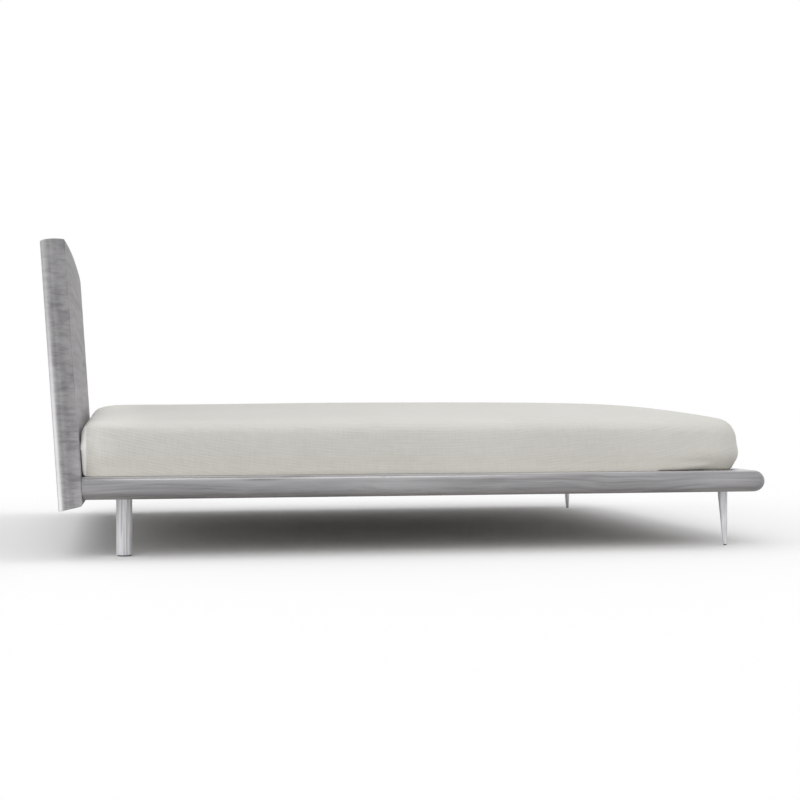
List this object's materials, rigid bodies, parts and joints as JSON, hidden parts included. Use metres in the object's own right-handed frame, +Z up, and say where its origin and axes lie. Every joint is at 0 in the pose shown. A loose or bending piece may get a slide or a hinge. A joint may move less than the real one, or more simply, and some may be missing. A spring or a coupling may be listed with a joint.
{
  "type": "platform bed",
  "caption": "Low platform bed: leaning bowed headboard, half-round timber frame on slender legs, slatted deck and a soft crowned mattress that lifts off.",
  "frame": {"origin": "on the floor, under the middle of the whole bed's bounding box", "axes": "+X from the headboard towards the foot, +Y towards the sleeper's left side of the bed when lying on the back with the head at the headboard, +Z up"},
  "size_m": [2.1642, 1.9, 0.9029],
  "materials": {
    "timber": "brushed grey stained grain, satin",
    "leg_timber": "pale grey stained grain, satin",
    "slat_timber": "planed pale softwood, unfinished",
    "steel": "zinc plated, satin",
    "glide": "matt moulded",
    "mattress_cloth": "off-white woven cover"
  },
  "bodies": {
    "frame": {"beam_hanger_foot": "steel", "beam_hanger_head": "steel", "centre_beam": "steel", "corner_block_foot_left": "slat_timber", "corner_block_foot_right": "slat_timber", "corner_block_head_left": "slat_timber", "corner_block_head_right": "slat_timber", "corner_bolt_foot_left": "steel", "corner_bolt_foot_right": "steel", "corner_bolt_head_left": "steel", "corner_bolt_head_right": "steel", "foot_rail": "timber", "glide_foot_left": "glide", "glide_foot_right": "glide", "glide_head_left": "glide", "glide_head_right": "glide", "head_rail": "timber", "headboard_bolt_1": "steel", "headboard_bolt_2": "steel", "headboard_bolt_3": "steel", "headboard_bolt_4": "steel", "headboard_insert_1": "steel", "headboard_insert_2": "steel", "headboard_insert_3": "steel", "headboard_insert_4": "steel", "headboard_panel": "timber", "ledger_left": "slat_timber", "ledger_right": "slat_timber", "leg_foot_left": "leg_timber", "leg_foot_right": "leg_timber", "leg_head_left": "leg_timber", "leg_head_right": "leg_timber", "leg_plate_foot_left": "steel", "leg_plate_foot_right": "steel", "leg_plate_head_left": "steel", "leg_plate_head_right": "steel", "leg_stud_foot_left": "steel", "leg_stud_foot_right": "steel", "leg_stud_head_left": "steel", "leg_stud_head_right": "steel", "side_rail_left": "timber", "side_rail_right": "timber", "slat_01": "slat_timber", "slat_02": "slat_timber", "slat_03": "slat_timber", "slat_04": "slat_timber", "slat_05": "slat_timber", "slat_06": "slat_timber", "slat_07": "slat_timber", "slat_08": "slat_timber", "slat_09": "slat_timber", "slat_10": "slat_timber", "slat_11": "slat_timber", "slat_12": "slat_timber", "slat_13": "slat_timber", "slat_14": "slat_timber"},
    "mattress": {"mattress": "mattress_cloth"}
  },
  "joints": [
    {"name": "mattress_lift", "type": "slide", "parent": "frame", "child": "mattress", "axis": [0, 0, 1], "range_m": [0, 0.7]}
  ]
}
